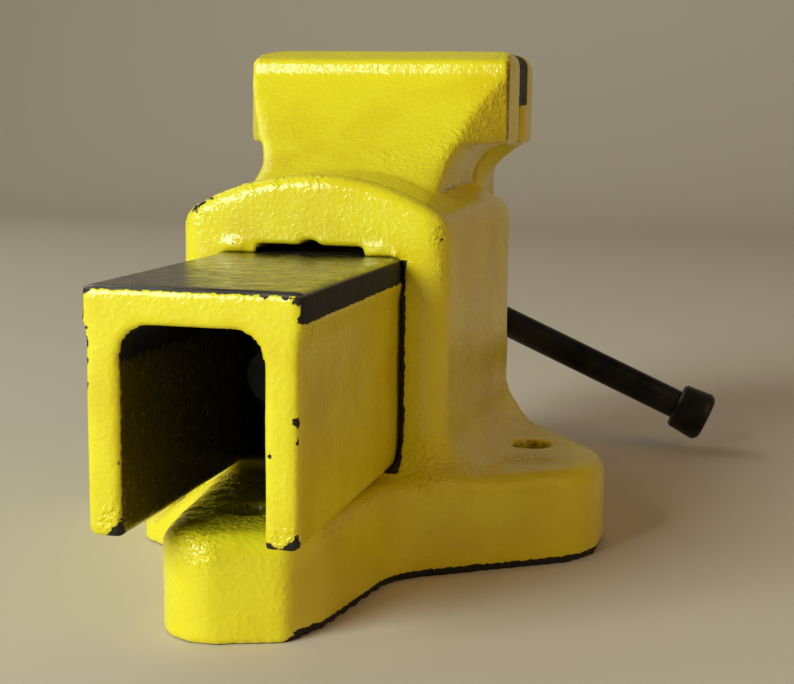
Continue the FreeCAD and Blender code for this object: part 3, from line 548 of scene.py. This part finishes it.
def bodyShade(place, normal):
    # painted shade in the bolt holes, on the ledge behind the arch's lip and along the back of the jaw's rim,
    # where shade falls
    if inBoltHole(place):
        return bodyPlaces["boltHoles"]["paintedShade"]
    ledge, rim = bodyPlaces["ledge"], bodyPlaces["rim"]
    onLedge = (ease(normal.z, *ledge["upwards"]) * ease(place.y, *ledge["front"])
               * ease(place.y, *ledge["rear"]) * ease(place.z, *ledge["bottom"]))
    onLedge = ledge["share"] * onLedge * ease(place.x, *ledge["left"]) * ease(place.x, *ledge["right"])
    fromRim = math.hypot(place.x - rim["middle"][0], place.y - rim["middle"][1])
    return max(onLedge, rim["share"] * (ease(fromRim, *rim["radius"]) * ease(place.z, *rim["bottom"])))


def bodySwell(place, normal):
    # the left end of the rear jaw bulges by a millimetre
    bulge = bodyPlaces["bulge"]
    return (bulge["height"] * ease(normal.x, *bulge["leftwards"]) * ease(place.x, *bulge["right"])
            * ease(place.z, *bulge["bottom"]) * ease(place.y, *bulge["front"]))


makeCasting("body_casting_painted", "body_casting", "body", bodyPlaces,
            {"bare": bodyBare, "machined": bodyMachined, "shadeAt": bodyShade, "swell": bodySwell})

# places on the sliding jaw, written as those on the body casting are
jawPlaces = {
    "beam": {"front": -70, "bareTop": 78.4, "machinedTop": 78.2},
    "sides": {"bottom": 72.3, "top": 80, "half": 23.2, "rear": 95.2},
    "inside": {"half": 16.4, "top": 71.8, "front": -98, "bareRear": 95.0, "shadeRear": 94.6},
    "drift": {"right": (14, 15), "front": (-30, 70), "top": (66, 60)},
    "rearEnd": {"front": 90, "bottom": 77.4, "blend": 0.35},
    "chips": [(22.8, 95.8, 78, 2), (17.2, 95.8, 78.6, 2.2), (13.5, 95.8, 78.8, 1.6), (10.6, 95.8, 78.9, 2),
              (7.6, 95.8, 78.8, 2), (3.1, 95.8, 79, 1.2), (-3.4, 95.8, 78.8, 1.2), (-13.5, 95.8, 78.8, 1.8),
              (-16, 95.8, 78.5, 2.2), (-20.2, 95.8, 78.2, 2.4), (-22.7, 95.8, 77.2, 2.2),
              (-23.4, 95.8, 73.6, 1.8), (24, 95.8, 73, 2), (23.2, 95.8, 70.3, 1.8), (22.7, 95.8, 67, 2.2),
              (22.8, 95.8, 63, 1.6), (22.8, 95.8, 58, 1.4), (-22, 95.8, 53, 2.4), (-22.6, 95.8, 49, 1.6),
              (-17.3, 95.8, 45.7, 1.9), (-21.6, 95.8, 26.8, 5), (-17.2, 95.8, 26.2, 2.6),
              (16.5, 95.8, 27.4, 4.2), (15.9, 95.8, 42, 1.5)],
    "rough": [(-24, 90, 72, 4), (23, 92, 70, 4), (-20, 95, 28, 4), (18, 95, 30, 4),
              (-32, -106, 126, 8), (32, -106, 126, 8), (-30, -112, 90, 10), (30, -112, 90, 10)],
    "runs": [],
}


def jawBare(place, normal):
    # the top of the beam is machined, its upper sides are rubbed bare, and the inside was never
    # painted apart from what drifted onto its left wall; the top edge of the rear end is worn
    beam, sides, inside, drift, end = (jawPlaces[k] for k in ("beam", "sides", "inside", "drift", "rearEnd"))
    if place.y > beam["front"] and place.z > beam["bareTop"]:
        return 1.0
    onSide = sides["bottom"] < place.z < sides["top"] and abs(place.x) > sides["half"]
    if onSide and beam["front"] < place.y < sides["rear"]:
        return 1.0
    within = abs(place.x) < inside["half"] and place.z < inside["top"]
    if within and inside["front"] < place.y < inside["bareRear"]:
        drifted = ease(place.x, *drift["right"]) * ease(place.y, *drift["front"])
        return 1.0 - drifted * ease(place.z, *drift["top"])
    return max(0.0, (place.z - end["bottom"]) * end["blend"]) if place.y > end["front"] else 0.0


def jawMachined(place, normal):
    beam = jawPlaces["beam"]
    return 1.0 if place.y > beam["front"] and place.z > beam["machinedTop"] else 0.0


def jawShade(place, normal):
    # painted shade: the paint inside the beam is drawn dark, where little light reaches
    inside = jawPlaces["inside"]
    within = abs(place.x) < inside["half"] and place.z < inside["top"]
    return 1.0 if within and inside["front"] < place.y < inside["shadeRear"] else 0.0


def jawSwell(place, normal):
    return 0.0  # nothing bulges on this casting


makeCasting("sliding_jaw_painted", "sliding_jaw", "jaw", jawPlaces,
            {"bare": jawBare, "machined": jawMachined, "shadeAt": jawShade, "swell": jawSwell})

# every other piece keeps its CAD shape and takes one of the steels
finishes = {
    "black oxide tool steel": ["rear_jaw_plate", "front_jaw_plate"],
    "oil-blackened turned steel": ["rear_plate_screw_right", "rear_plate_screw_left",
                                   "front_plate_screw_right", "front_plate_screw_left", "main_screw",
                                   "handle_bar", "handle_knob_lower", "handle_knob_upper"],
    "dull zinc-plated steel": ["nut_bolt", "nut_washer", "thrust_washer", "spring_washer",
                               "retaining_washer", "split_pin"],
    "drawn spring wire": ["screw_spring"],
    "machined grey cast iron": ["main_nut"],
}

for finish, names in finishes.items():
    for name in names:
        for slot in nodes[name].material_slots:
            slot.material = madeSteels[finish]
        if not nodes[name].material_slots:
            nodes[name].data.materials.append(madeSteels[finish])
print("finishes set")
